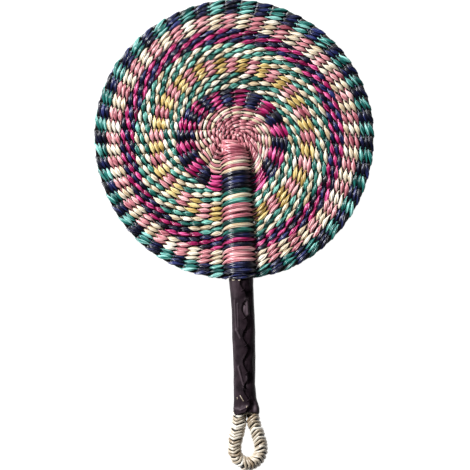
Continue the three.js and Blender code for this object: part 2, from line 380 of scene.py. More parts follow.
# %% Values for the long stitches over the handle
CHORD_LIFT = 3.8 * MM
TIP_LIFT = 3.2 * MM
TIP_ROW = 9 * MM
TIP_REACH = 5 * MM
RIM_LIFT = 1.0 * MM
LIFT_FADE = 133 * MM
FIRST_HANDLE_ROW = 8 * MM
CHORD_DROP = 1.2
DROP_FADE = 0.7
LEVEL_ROW = 18 * MM
LEAN_EASE = 8 * MM
TIP_LEAN = -0.8
TIP_LEFT = 2.4 * MM
TIP_WIDER = 1.8 * MM
TIP_LEFT_REACH = 3 * MM
TIP_TAPER = 3.5 * MM
TAPER_REACH = 10 * MM
CHORD_REACH = 1.05
CHORD_ARCH = 2.6 * MM
RIM_ARCH = -0.5 * MM
TIP_Y = core_high.y + 4 * MM
TIP_LENGTH = 11 * MM
RIDGE_HALF_TOP = 15.7 * MM
RIDGE_HALF_GROWTH = 2.3 * MM
RIDGE_LEFT = 1.0 * MM
RIDGE_LEAN = 0.8 * MM
RIDGE_RISE = 12.9 * MM
WEAVE_RISE = 3.4 * MM


def ridge_share(y):
    """How much of its full height the ridge has at this distance down the handle."""
    below = (TIP_Y - y) / TIP_LENGTH
    if below <= 0:
        return 0.0
    return math.sqrt(1 - (1 - below) ** 2) if below < 1 else 1.0


print("ridge tip at", round(TIP_Y / MM, 1), "mm")

# %% One row
class Row:
    """One turn of weft: a long stitch over the handle, then a ring of stitches."""

    def __init__(self, radius, pitch, columns, pulls):
        self.radius, self.pitch, self.columns, self.pulls = radius, pitch, columns, pulls
        self.chord_gap = 0.0
        drift = max(0.0, 1 - radius / KNOT_FADE)
        settled = smooth((radius - SHIFT_START) / SHIFT_EASE) * smooth((disc_radius - radius) / SHIFT_EASE)
        self.centre = START_KNOT * drift + RING_SHIFT * settled
        fade = 1 - smooth((radius - KNOT_FADE) / (ROUND_AGAIN - KNOT_FADE))
        self.wide, self.high = 1 + WIDE_SHARE * fade, 1 + HIGH_SHARE * fade
        self.lay_chord(radius > FIRST_HANDLE_ROW)

    def lay_chord(self, over_handle):
        """Sets the place, the width, the arch, the rise and the drop of the long stitch."""
        near_rim = smooth((self.radius - LIFT_FADE) / (disc_radius - LIFT_FADE))
        past_tip = self.radius - TIP_ROW
        lift = CHORD_LIFT + (RIM_LIFT - CHORD_LIFT) * near_rim
        lift += TIP_LIFT * bell(past_tip, TIP_REACH)
        self.chord_y = lift - self.radius if over_handle else self.centre.y - self.radius
        half = RIDGE_HALF_TOP + RIDGE_HALF_GROWTH * -self.chord_y / disc_radius
        self.half = min(half, CHORD_REACH * self.radius)
        self.half += TIP_WIDER * bell(past_tip, TIP_LEFT_REACH)
        self.arch = CHORD_ARCH * self.half / half + (RIM_ARCH - CHORD_ARCH) * near_rim
        self.middle_x = handle_x - RIDGE_LEFT - RIDGE_LEAN * (1 + self.chord_y / disc_radius)
        self.middle_x -= TIP_LEFT * bell(past_tip, TIP_LEFT_REACH)
        taper = TIP_TAPER * bell(past_tip, TAPER_REACH)
        self.half -= taper / 2
        self.middle_x -= taper / 2
        self.rise = max(WEAVE_RISE, RIDGE_RISE * ridge_share(self.chord_y)) if over_handle else WEAVE_RISE
        lean = min(1.0, max(TIP_LEAN, (self.radius - LEVEL_ROW) / LEAN_EASE))
        self.drop = lean * CHORD_DROP * self.pitch * max(0.0, 1 - self.radius / disc_radius) ** DROP_FADE

    def chord(self, share):
        """A point of the long stitch, from its right end at -0.5 to its left end at 0.5."""
        arch = self.arch * (0.5 - 4 * share * share)
        return Vector((self.middle_x - 2 * share * self.half, self.chord_y + arch - share * self.drop))

    def polar(self, point):
        """Radius and clockwise turn from the handle, in the row's own stretched circle."""
        x = (point.x - self.centre.x) / self.wide
        y = (point.y - self.centre.y) / self.high
        return math.hypot(x, y), math.atan2(-x, -y) % (2 * math.pi)

    def close(self, after):
        """Ties the ring to both long stitches, its own and that of the row after it."""
        self.left_end = self.chord(0.5)
        self.level = bell(self.radius - LEVEL_AT, LEVEL_FADE)
        self.level_turn = min(LEVEL_TURN, LEVEL_REACH / self.radius)
        self.left_radius, self.left_turn = self.polar(self.left_end)
        self.right_radius, self.right_turn = self.polar(after.chord(-0.5))
        self.ease = min(EASE_MOST, max(EASE_LEAST, EASE_REACH / self.radius))
        self.step = (self.right_turn - self.left_turn) / (self.columns - 1)
        fall, climb = self.chord_y - after.chord_y, max(0.0, after.rise - self.rise)
        self.slope, after.chord_gap = math.atan2(climb, fall), math.hypot(fall, climb)
        self.chord_gap = max(self.chord_gap, after.chord_gap)

    def turn_at(self, column):
        """The turn at a column of the ring, from 0 to the count of columns less one, with its pulls."""
        turn = self.left_turn + column * self.step
        pulled = sum(shift * bell(math.degrees(turn) - place, reach) for place, reach, shift in self.pulls)
        return turn + math.radians(pulled)

    def ring(self, turn, outward):
        """A point of the ring at a turn, moved outward by that much."""
        left = smooth((self.left_turn + self.ease - turn) / self.ease)
        right = smooth((turn - self.right_turn + self.ease) / self.ease)
        slow, fast = WAVE_COUNTS
        drift = self.radius / WAVE_DRIFT
        wave = math.sin(slow * turn + drift) + math.sin(fast * turn - drift)
        radius = self.radius + outward + WAVE_HEIGHT * wave
        radius += (self.left_radius - self.radius) * left + (self.right_radius - self.radius) * right
        x = self.centre.x - self.wide * radius * math.sin(turn)
        y = self.centre.y - self.high * radius * math.cos(turn)
        level_y = self.left_end.y + LEVEL_CLIMB * abs(x - self.left_end.x) - outward
        y += (level_y - y) * self.level * smooth(1 - (turn - self.left_turn) / self.level_turn)
        return Vector((x, y))


print("a row can be asked for:", [name for name in vars(Row) if not name.startswith("_")])

# %% [markdown]
# ## The colour bands
# The nine bands are nine nodes of the frame, and their boxes give the radii. In each, the first strand
# lies in front where the band crosses the handle. With an even count of stitches in a turn, the same
# strand is in front of the same stem in every row, and the colours stack into blocks. With an odd count
# they change places in each row, and the colours run in slanting steps. No hand spaces its stems evenly,
# so a band can have pulls: at a turn from the handle, over a reach, the columns are shifted. All in
# degrees.

# %% Bands and rows
OUTER_PULLS = ((106, 45, -4.5), (213, 34, 5.0))
BANDS = (
    ("centre_button_pink", "pink", "pink", 6, (5, 6, 8, 10, 12, 14), ()),
    ("band_cream_pink", "pink", "cream", 4, 15, ((70, 25, 5), (215, 110, -5))),
    ("band_inner_magenta_navy", "navy", "magenta", 4, 22, ((200, 60, -18.5), (285, 45, -7))),
    ("band_inner_green_cream", "green", "cream", 3, 37, ((200, 70, -8),)),
    ("band_yellow_pink", "pink", "yellow", 3, 38, ((245, 75, -10),)),
    ("band_outer_green_cream", "green", "cream", 3, 51, ((230, 60, -4),)),
    ("band_outer_magenta_navy", "navy", "magenta", 3, 55, OUTER_PULLS),
    ("band_pink_cream", "pink", "cream", 3, 60, OUTER_PULLS),
    ("rim_band_teal_navy", "navy", "teal", 3, 60, OUTER_PULLS),
)
END_STEP = -0.1


def band_rows():
    """The rows of every band, from the middle out, each tied to the one after it."""
    bands, inner = [], 0.0
    for node, _, _, count, columns, pulls in BANDS:
        low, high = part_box(node)
        outer = (high.x - low.x) / 2
        pitch = (outer - inner) / count
        rows = []
        for i in range(count):
            radius = inner + (i + 0.5) * pitch
            around = columns if isinstance(columns, int) else columns[i]
            rows.append(Row(radius, pitch, around, pulls))
        bands.append(rows)
        inner = outer
    every = [row for rows in bands for row in rows]
    last = every[-1]
    beyond = Row(last.radius + END_STEP * last.pitch, last.pitch, last.columns, last.pulls)
    for row, after in zip(every, every[1:] + [beyond]):
        row.close(after)
    return bands


band_plan = band_rows()
rim_row = band_plan[-1][-1]
print("rows:", [len(rows) for rows in band_plan])

# %% [markdown]
# ## Twining the strands
# A strand passes over a stem, dives between two stems and passes under the next. It could be drawn by
# hand as one long curve, but there are thousands of points, so functions walk it through its rows stitch
# by stitch. Its height follows a flattened cosine that stays in front longer than behind. It also sways
# across its row, so that every stitch slants, and in a band with an odd count the slanting stitches of
# one colour join up into stripes. A flat strand turns over as it goes round its partner, like one ply of
# a rope, and narrows at the crossing, which gives each stitch its pointed leaf shape. Behind the stems it
# widens sooner, so that the back stays closed. Small seeded differences keep it all from looking like a
# machine's work.

# %% What all stitches share
SLANT = 0.38
SLANT_REACH = 0.2
RIM_SLANT = 1.5
MIDDLE_TONE = 0.5
MOOD_SPREADS = ((0, 0.05), (1, 0.07), (1, 0.09), (0, 0.06), (0, 0.17))


def stitch_moods(rows, seed):
    """Seeded small differences for every stitch of a band: turn, height, width, outward shift and roll."""
    pick = random.Random(seed)
    return [[[pick.gauss(*spread) for spread in MOOD_SPREADS] for _ in range(row.columns)] for row in rows]


def row_slant(row):
    """How far a stitch of this row sways to each side of the row's middle."""
    slant = min(SLANT * row.pitch, SLANT_REACH * row.step * row.radius)
    return slant * RIM_SLANT if row is rim_row else slant


def face_turn(stitch, share, reach):
    """How far the strand's face has turned, flat at the middle of a stitch and upright at its ends."""
    return -math.pi * (stitch + math.copysign(0.5 * abs(2 * share) ** reach, share))


print("slant at the rim, mm:", round(row_slant(rim_row) / MM, 2))

# %% A long stitch over the handle
HANDLE_STEPS = 22
HANDLE_SLANT = 0.7
SLANT_LATE = 3
HANDLE_FILL = 0.94
HANDLE_TAPER = 0.5
TAPER_LATE = 4
WIDEST_GAP = 1.9
HANDLE_FLAT_REACH = 7
DOME = 0.55
HANDLE_UNEVEN = 0.5


def handle_stitch(row, stitch, side, mood, tone):
    """The points of the long stitch of a row. Side is 1 in front of the handle and -1 behind it."""
    _, lift, fullness, _, roll = mood
    slant = row_slant(row)
    width = max(row.pitch, min(row.chord_gap, WIDEST_GAP * row.pitch)) / 2
    dome = row.rise * (1 + HANDLE_UNEVEN * (lift - 1))
    points = []
    for k in range(HANDLE_STEPS):
        share = k / HANDLE_STEPS - 0.5
        edge = abs(2 * share)
        flat = row.chord(share)
        flat.y -= side * slant * HANDLE_SLANT * math.copysign(edge ** SLANT_LATE, share)
        height = mid_z + side * dome * (1 - edge ** 2) ** DOME
        tilt = face_turn(stitch, share, HANDLE_FLAT_REACH)
        tilt += (side * row.slope + roll) * (1 - edge ** 2)
        fill = HANDLE_FILL - HANDLE_TAPER * edge ** TAPER_LATE
        points.append((Vector((*flat, height)), width * fill * fullness, tone, tilt))
    return points


print("points in a long stitch:", HANDLE_STEPS)

# %% A stitch of the ring
RING_STEPS = 8
FLAT_TOP = 0.7
FRONT_SHARE = 0.4
RIM_INSET = 0.8 * MM
BEHIND_SLANT = 0.4
BEHIND_WIDER = 0.2
BEHIND_BLUNT = 0.4
DIVE_DEPTH = 0.6
SWAY_ROUND = 0.96
START_ABOVE = 0.05
STRAND_FILL = 0.86
CROSSING_WIDTH = 0.5
FLAT_REACH = 3.0
CENTRE_REACH = 58 * MM
CENTRE_FRONT = 0.04
CENTRE_RISE = 0.78
CENTRE_FILL = 0.78
CENTRE_FLAT = 4.0


def near_centre(row):
    """1 at the middle of the disc and 0 outside the centre, where stitches lie a little differently."""
    return 1 - smooth(row.radius / CENTRE_REACH)


def sway(phase):
    """Goes from -1 to 1 across the row along a stitch, and back along the next."""
    return math.asin(SWAY_ROUND * math.sin(phase)) / math.asin(SWAY_ROUND)


def stitch_width(over, fullness):
    """The share of its full width that a strand has, at its height over or behind the stem."""
    spread = over if over > 0 else abs(over) ** BEHIND_BLUNT
    taper = CROSSING_WIDTH + (1 - CROSSING_WIDTH) * spread * fullness
    return taper * (1 + BEHIND_WIDER * max(0.0, -over))


def ring_stitch(row, column, stitch, lead, mood, tone):
    """The points of one stitch in a row's ring. Stitch is its number along the whole strand."""
    twist, lift, fullness, shift, roll = mood
    central = near_centre(row)
    slant = row_slant(row)
    inset = RIM_INSET if row is rim_row else 0.0
    width = (STRAND_FILL + (CENTRE_FILL - STRAND_FILL) * central) * row.pitch / 2
    rise = WEAVE_RISE * (1 + (CENTRE_RISE - 1) * central)
    front = FRONT_SHARE + CENTRE_FRONT * central
    flat_reach = FLAT_REACH + CENTRE_FLAT * central
    points = []
    for k in range(RING_STEPS):
        share = k / RING_STEPS - 0.5
        phase = math.pi * (stitch + share)
        over = lead * math.cos(phase)
        turn = row.turn_at(column - 0.5 + share + twist * math.cos(math.pi * share))
        dive = BEHIND_SLANT + (1 - BEHIND_SLANT) * smooth(1 + over / DIVE_DEPTH)
        outward = lead * slant * dive * sway(phase) + shift * row.pitch * abs(over) - inset
        flat = row.ring(turn, outward)
        climb = lead * math.cos(phase + math.pi * START_ABOVE) + front
        climb = math.copysign(abs(climb / (1 + front)) ** FLAT_TOP, climb)
        height = mid_z + rise * lift * climb
        tilt = face_turn(stitch, share, flat_reach) + roll * math.cos(math.pi * share)
        points.append((Vector((*flat, height)), width * stitch_width(over, fullness), tone, tilt))
    return points


print("points in a ring stitch:", RING_STEPS)

# %% The route of a strand
HANDLE_TONE = 0.38
HANDLE_TONE_SPREAD = 0.12
CENTRE_TONE = -0.08
RING_TONE_SPREAD = 0.19


def strand_route(rows, lead, moods, seed):
    """The points of one strand. Lead is 1 for the strand in front at the first handle stitch, else -1."""
    pick = random.Random(seed)
    route, stitch = [], 0
    for row, row_moods in zip(rows, moods):
        side = lead if stitch % 2 == 0 else -lead
        tone = pick.gauss(HANDLE_TONE, HANDLE_TONE_SPREAD)
        route += handle_stitch(row, stitch, side, row_moods[0], tone)
        ring_tone = MIDDLE_TONE + CENTRE_TONE * near_centre(row)
        for column in range(1, row.columns):
            tone = pick.gauss(ring_tone, RING_TONE_SPREAD)
            route += ring_stitch(row, column, stitch + column, lead, row_moods[column], tone)
        stitch += row.columns
    last = rows[-1]
    end = last.ring(last.right_turn, 0)
    route.append((Vector((*end, mid_z)), CROSSING_WIDTH * last.pitch / 2, MIDDLE_TONE, route[-1][3]))
    return route


print("stitches in a turn of each band:", [rows[-1].columns for rows in band_plan])

# %% [markdown]
# ## Three straws to a strand
# Each strand on the fan is a few split straws laid side by side. Grooves in the section could stand for
# them, but separate straws slip past each other and catch the light one by one. So a strand's route is
# split into three, which turn over together, wander a little and bunch up where the strand stands on
# edge.

# %% Splitting a strand
STRAWS_ACROSS = (-0.62, 0.0, 0.62)
STRAW_HALF = 0.42
STRAW_CROWN = 0.24
BUNCH_CROWN = 0.45
BUNCH_CLOSE = 0.3
STRAW_WANDER = 0.09
STRAW_SHADE = 0.28
SHADE_BEAT = 0.7
SHADE_START = 2
WANDER_BEATS = (180, 380)


def strand_sides(points, turned, raised):
    """The directions across a strand and out of its face, at each point of its route."""
    ahead = np.gradient(points, axis=0)
    level = np.cross(ahead, (0, 0, 1))
    level /= np.linalg.norm(level, axis=1)[:, None]
    upright = np.cross(level, ahead)
    upright /= np.linalg.norm(upright, axis=1)[:, None]
    return level * turned - upright * raised, upright * turned + level * raised


def split_strand(route, lead, seed):
    """Three straws side by side, which turn over together along the strand's route."""
    pick = random.Random(seed)
    points = np.array([tuple(place) for place, _, _, _ in route])
    radii, tones, tilts = np.array([(radius, tone, tilt) for _, radius, tone, tilt in route]).T
    along = run_along(points)
    turned, raised = np.cos(tilts)[:, None], np.sin(tilts)[:, None]
    across, face = strand_sides(points, turned, raised)
    bunched = np.abs(raised)
    straws = []
    for offset in STRAWS_ACROSS:
        beat, start = pick.uniform(*WANDER_BEATS), pick.uniform(0, 2 * math.pi)
        wander = STRAW_WANDER * np.sin(beat * along + start)
        apart = (offset + wander)[:, None] * (1 - BUNCH_CLOSE * bunched)
        crown = lead * (STRAW_CROWN + BUNCH_CROWN * bunched) * (0.5 - abs(offset))
        middle = points + (across * apart + face * crown) * radii[:, None]
        shades = tones + STRAW_SHADE * np.sin(SHADE_BEAT * beat * along + SHADE_START * start)
        straws.append([(Vector(place), STRAW_HALF * radius, shade, tilt)
                       for place, radius, shade, tilt in zip(middle, radii, shades, tilts)])
    return straws


print("straws in a strand:", len(STRAWS_ACROSS))

# %% Both strands of every band
MOOD_SEED = 100
ROUTE_SEED = 200
STRAW_SEED = 300


def twine_bands():
    """Two strands for each band, which stand for the band's node together."""
    total = 0
    for number, ((node, front, behind, _, _, _), rows) in enumerate(zip(BANDS, band_plan)):
        moods = stitch_moods(rows, MOOD_SEED + number)
        for lead, dye in ((1, front), (-1, behind)):
            route = strand_route(rows, lead, moods, ROUTE_SEED + 2 * number + lead)
            name = node + ("_first_strand" if lead == 1 else "_second_strand")
            straws = split_strand(route, lead, STRAW_SEED + 2 * number + lead)
            piece = sweep(name, straws, STRAW_SECTION, STRAW[dye])
            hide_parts(node)
            total += len(piece.data.polygons)
    return total


print("strands:", 2 * len(BANDS), "faces:", twine_bands())

# %% [markdown]
# ## Stems of the warp
# The warp is hidden, but without it light would fall through the disc. Its stems are coloured near black,
# which paints the shade that the eye catches in the small gaps. A dark plate would paint that shade too,
# but it would show as a plate from the side. So outside the centre each column has a flat bundle of
# stems, as wide as the column, and the bundles lie side by side. More stems run down both sides of the
# handle. On the real fan stems are added as the disc grows, which is why the outer bands have more.

# %% Warp stems
WARP_SEED = 11
WARP_SECTION = ribbed_section(12, 0.2, 0.2)
WARP_TONES = (0.2, 0.5)
WARP_SHARE = 1.14
WARP_END = 1.0
RIM_END = 0.3
FLANK_RADIUS = 2.0 * MM
FLANK_STEPS = (-2.6 * MM, 0.0, 2.6 * MM, 5.2 * MM, 7.8 * MM)
FLANK_LEAST_RISE = 8 * MM
FLANK_TONE = 0.3


def warp_route(rows, share, width_share, outer_end, tone):
    """The flat bundle at one share of the way round a band, past its first and its last row."""
    first, last = rows[0], rows[-1]
    route = []
    for row, outward in ((first, -WARP_END), *((row, 0) for row in rows), (last, outer_end)):
        flat = row.ring(row.turn_at(share * (row.columns - 1)), outward * row.pitch)
        around = (row.right_turn - row.left_turn) * (row.radius + max(0, outward) * row.pitch)
        route.append((Vector((*flat, mid_z)), width_share * around / 2, tone, 0.0))
    return route


def warp_stems():
    """A flat bundle under every column of the outer bands, and stems down each side of the handle."""
    pick = random.Random(WARP_SEED)
    routes = []
    for rows in band_plan[1:]:
        count = max(row.columns for row in rows) - 1
        outer_end = RIM_END if rows is band_plan[-1] else WARP_END
        for i in range(count):
            tone = pick.uniform(*WARP_TONES)
            routes.append(warp_route(rows, (i + 0.5) / count, WARP_SHARE / count, outer_end, tone))
    rows = [row for rows in band_plan for row in rows if row.rise > FLANK_LEAST_RISE]
    for side in (-1, 1):
        for step in FLANK_STEPS:
            ends = [row.chord(0.5 * side) + Vector((side * step, 0)) for row in rows]
            routes.append([(Vector((*end, mid_z)), FLANK_RADIUS, FLANK_TONE, 0.0) for end in ends])
    # The near-black colour of these stems is painted shade, seen in the gaps between stitches.
    piece = sweep("warp_stems", routes, WARP_SECTION, STRAW["stem"])
    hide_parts(*(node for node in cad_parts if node.startswith("warp_spoke")))
    return piece


print("warp faces:", len(warp_stems().data.polygons))

# %% [markdown]
# ## The handle's stems
# Under the ridge and the grip runs the core: straight stems in a round bundle. One cylinder would fill
# the same room, but its end would look turned on a lathe. So stems lie in two rings round one in the
# middle.

# %% The bundle in the handle
BUNDLE_SEED = 31
BUNDLE_SHARE = 0.84
BUNDLE_ACROSS = 5
BUNDLE_RINGS = (6, 12)
BUNDLE_TONES = (0.3, 0.6)
BUNDLE_STEPS = 5
CORE_ROUND = 7 * MM


def stem_bundle():
    """The handle's core: straight stems packed in rings round one in the middle."""
    stem = BUNDLE_SHARE * core_radius / BUNDLE_ACROSS
    pick = random.Random(BUNDLE_SEED)
    places = [(0.0, 0.0)]
    for ring, count in enumerate(BUNDLE_RINGS, start=1):
        for i in range(count):
            turn = 2 * math.pi * i / count
            places.append((2 * ring * stem * math.cos(turn), 2 * ring * stem * math.sin(turn)))
    routes = []
    for x, z in places:
        reach = math.hypot(x, z) / core_radius
        top = core_high.y - CORE_ROUND * (1 - math.sqrt(1 - reach * reach))
        tone = pick.uniform(*BUNDLE_TONES)
        line = [Vector((handle_x + x, y, mid_z + z)) for y in np.linspace(top, core_low.y, BUNDLE_STEPS)]
        routes.append([(point, stem, tone, 0.0) for point in line])
    # Near-black stems: their colour paints the shade where the core shows through gaps.
    piece = sweep("handle_stem_bundle", routes, ROUND_SECTION, STRAW["stem"])
    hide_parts("handle_core")
    return piece


print("bundle faces:", len(stem_bundle().data.polygons))

# %% [markdown]
# ## The knot and the tip of the ridge
# The work starts where a few stems cross. What shows of them between the first stitches is pink straw in
# shade, and that shade is painted into their colour, a dark red. Just below, pink straws are bent over the
# end of the core and run down the front and the back of the ridge. Both are short sweeps like the rest, so
# that they share its section and finish.

# %% Crossed stems at the knot
CROSSED_STEMS = 11
CROSSED_REACH = 25 * MM
CROSSED_HALF = 4.5 * MM
CROSSED_TONE = 0.3


def knot_stems():
    """Stems crossed at the knot, where the work starts, in a dark red that paints pink in shade."""
    knot = Vector((*START_KNOT, mid_z))
    routes = []
    for i in range(CROSSED_STEMS):
        turn = math.pi * i / CROSSED_STEMS
        reach = CROSSED_REACH * Vector((math.cos(turn), math.sin(turn), 0))
        routes.append([(knot + reach * share, CROSSED_HALF, CROSSED_TONE, 0.0) for share in (-1, 0, 1)])
    # The dark red colour is painted shade: pink stems in the shadow of the first stitches.
    piece = sweep("knot_stems", routes, WARP_SECTION, STRAW["wine"])
    return piece


print("knot faces:", len(knot_stems().data.polygons))

# %% Straws bent over the core's end
TIP_SEED = 21
TIP_STRAWS = 9
TIP_STRAW_HALF = 1.7 * MM
TIP_SPREAD = 0.86
TIP_COVER = 2.0 * MM
TIP_STEPS = 9
TIP_BENDS = (0.08, 1.45)


def tip_straws():
    """Pink straws bent over the end of the core, down the front of the ridge and down its back."""
    pick = random.Random(TIP_SEED)
    over_tip = next(row for row in band_plan[0] if row.rise > FLANK_LEAST_RISE)
    routes = []
    for place in np.linspace(-TIP_SPREAD, TIP_SPREAD, TIP_STRAWS):
        x = over_tip.middle_x + place * over_tip.half
        rise = (RIDGE_RISE - TIP_COVER) * math.sqrt(1 - place * place)
        for side in (-1, 1):
            tone, line = pick.gauss(HANDLE_TONE, HANDLE_TONE_SPREAD), []
            for bend in np.linspace(*TIP_BENDS, TIP_STEPS):
                y = TIP_Y - TIP_COVER - TIP_LENGTH * (1 - math.cos(bend))
                point = Vector((x, y, mid_z + side * rise * math.sin(bend)))
                line.append((point, TIP_STRAW_HALF, tone, 0.0))
            routes.append(line)
    piece = sweep("tip_straws", routes, STRAW_SECTION, STRAW["pink"])
    return piece


print("tip faces:", len(tip_straws().data.polygons))

# %% [markdown]
# ## Leather finish
# The grip is dark plum leather: mottled, with a fine pebbled grain. A pale colour is painted on it as
# highlight: on the crests of its folds, where it is also a little rubbed, down its left side, which faces
# the light, in the slit of the lap and on a spot of the hem. A picture of leather could be laid on it, but
# patterns that grow in space have no seam and need no file. One noise sets both the mottling and the
# uneven gloss, a cell pattern raises the grain, and an attribute of each vertex mixes in the pale colour.

# %% A finish for leather
LEATHER_SHINE = {"IOR": 1.14}
LEATHER_GLOSS = {"To Min": 0.26, "To Max": 0.5}
LEATHER_SHADES = ((0.3, srgb(8, 4, 8)), (0.75, srgb(50, 38, 45)))
# The pale colour of painted highlights; on the fold crests it is partly real rubbing.
LEATHER_RUBBED_AND_LIT = srgb(150, 132, 142)
MOTTLE = {"Scale": 90, "Detail": 5}
GRAIN = {"Scale": 1400}
GRAIN_RELIEF = {"Strength": 0.25, "Distance": 0.2 * MM}


def leather_finish():
    """Dark plum leather: mottled, creased and a little glossy, with a fine pebbled grain and pale painted
    highlights.
    """
    material, shader = new_finish("leather_plum", LEATHER_SHINE)
    place = add_node(material, "ShaderNodeTexCoord").outputs["Object"]
    mottle = add_node(material, "ShaderNodeTexNoise", {"Vector": place}, MOTTLE).outputs["Fac"]
    shades = shade_ramp(material, mottle, LEATHER_SHADES)
    # This attribute mixes in the pale colour: painted highlight, partly rubbing on the fold crests.
    worn = add_node(material, "ShaderNodeAttribute", attribute_name="worn").outputs["Fac"]
    feeds, pale = {"Factor": worn, "A": shades}, {"B": LEATHER_RUBBED_AND_LIT}
    rubbed_and_lit = add_node(material, "ShaderNodeMix", feeds, pale, data_type="RGBA").outputs["Result"]
    grain = add_node(material, "ShaderNodeTexVoronoi", {"Vector": place}, GRAIN).outputs["Distance"]
    feed_surface(material, shader, rubbed_and_lit, mottle, LEATHER_GLOSS, grain, GRAIN_RELIEF)
    return material


LEATHER = leather_finish()
print("leather finish:", LEATHER.name)

# %% [markdown]
# ## The leather grip
# One piece of leather is wrapped round the handle and lapped over itself along the front, a little right
# of the middle. It is pulled tight by its lacing, so its edge waves in and out, it creases along its
# length, and it widens at the bottom to hold the loop. A cloth simulation could wrap it, but it can't be
# told where each fold lies. So a flat grid is bent into that shape: across the grid goes round the
# handle, from the tucked edge to the lapped one, and down the grid goes down the handle. A Solidify
# modifier then gives the leather its thickness.

# %% The lapped edge
LAP = 0.7
LAP_MIDDLE = 1.2
LAP_SWAY = 2.7
LAP_CREST_Y = -196
LAP_PERIOD = 28.5
GRIP_HALF = 12.0


def lap_edge(y):
    """The angle of the lapped edge, from the front toward the right, at this height."""
    wave = math.cos(2 * math.pi * (y / MM - LAP_CREST_Y) / LAP_PERIOD)
    return (LAP_MIDDLE + LAP_SWAY * wave) / GRIP_HALF


print("lapped edge at the top, degrees:", round(math.degrees(lap_edge(grip_high.y)), 1))

# %% Folds and creases
FOLDS = (
    ((-7.9, -172.0), (-7.6, -204.0), 0.8, 0.55),
    ((-6.6, -174.0), (-6.5, -203.0), 0.5, -0.5),
    ((-5.3, -176.0), (-5.6, -203.0), 0.8, 0.55),
    ((-7.4, -203.0), (-3.4, -212.0), 0.9, 0.8),
    ((-5.6, -202.0), (-1.6, -211.0), 0.7, -0.7),
    ((5.0, -171.0), (5.2, -187.0), 1.7, 1.4),
    ((6.6, -172.0), (6.8, -188.0), 0.6, -0.6),
    ((-6.2, -243.0), (-0.2, -267.5), 0.9, 0.9),
    ((-4.4, -243.0), (1.4, -266.0), 0.8, -0.7),
    ((2.4, -254.0), (3.0, -266.0), 0.8, 0.6),
    ((-11.0, -287.5), (-4.6, -289.0), 1.1, 1.0),
    ((-4.6, -289.0), (2.0, -285.2), 1.1, 1.0),
    ((-3.5, -280.0), (-3.5, -283.5), 3.0, -1.1),
    ((-8.5, -152.0), (-7.0, -168.0), 2.4, 0.5),
    ((10.5, -283.0), (11.0, -292.0), 2.2, 0.9),
    ((6.0, -275.0), (9.0, -284.0), 0.8, -0.6),
)
FOLD_FADE = 3
CHANCE = ((0.4, 2.2, 45, 3.0), (0.25, 6, 120, 8.0))


def fold_height(x, y):
    """How far the folds stand out, or in where negative, at this place on the front. All in mm."""
    place = Vector((x, y, 0))
    total = 0.0
    for start, end, half_width, height in FOLDS:
        start, end = Vector((*start, 0)), Vector((*end, 0))
        _, share = geometry.intersect_point_line(place, start, end)
        nearest = start.lerp(end, min(1.0, max(0.0, share)))
        total += height * bell((place - nearest).length, half_width)
    return total


def creases(angle, y):
    """How far the leather stands out or in here, from its folds and a little chance."""
    folds = 0.0
    if math.cos(angle) > 0:
        folds = smooth(FOLD_FADE * math.cos(angle)) * fold_height(GRIP_HALF * math.sin(angle), y / MM)
    chance = sum(height * noise.noise(Vector((around * angle, along * y, start)))
                 for height, around, along, start in CHANCE)
    return (folds + chance) * MM


print("folds:", len(FOLDS))

# %% Bending the sheet round the handle
GRIP_OUTLINE = (
    (0.00, 13.2, 13.1, 12.4),
    (0.09, 12.2, 13.0, 12.0),
    (0.22, 11.2, 13.2, 11.6),
    (0.40, 11.3, 13.4, 11.6),
    (0.62, 11.3, 12.4, 11.4),
    (0.80, 11.6, 11.6, 11.4),
    (0.89, 11.9, 12.3, 11.2),
    (0.96, 13.0, 14.9, 11.0),
    (1.00, 13.5, 14.7, 10.8),
)
SLIT = (1.9, -179.0, 1.7, 5.0)
SLIT_BULGE = 0.9 * MM
TUCK = 1.35 * MM
TUCK_START = 0.9
TUCK_EASE = 0.85
LIP = 0.45 * MM
LIP_EASE = 0.3
TOP_DIPS = (-0.65, -0.12)
DIP_WIDTH = 0.13
DIP_DEPTH = 2.8
TOP_RISE = 2.2
TOP_SHARE = 0.06
RIM_ROOM = 2.6
RIM_ROOM_START = 0.3
HEM_DROP = 3.0
HEM_LOBES = 2.0
HEM_RIGHT = 1.25
HEM_START = 0.85
HEM_SHARE = 0.15


def in_spot(x, y, spot):
    """1 in the middle of a spot and 0 away from it. A spot is its middle and its half sizes, all in mm."""
    middle_x, middle_y, half_wide, half_high = spot
    return bell(x - middle_x, half_wide) * bell(y - middle_y, half_high)


def edge_shift(angle, down):
    """How far the wavy top edge and the lobed hem lie below the straight ends of the grip."""
    dips = (DIP_DEPTH * sum(bell(angle - place, DIP_WIDTH) for place in TOP_DIPS) - TOP_RISE) * MM
    lobes = (HEM_DROP - HEM_LOBES * math.cos(2 * angle) - HEM_RIGHT * (1 + math.sin(angle))) * MM
    under_rim = RIM_ROOM * max(0.0, math.sin(angle - RIM_ROOM_START)) * MM
    at_top, at_hem = 1 - smooth(down / TOP_SHARE), smooth((down - HEM_START) / HEM_SHARE)
    return (dips - under_rim) * at_top + lobes * at_hem


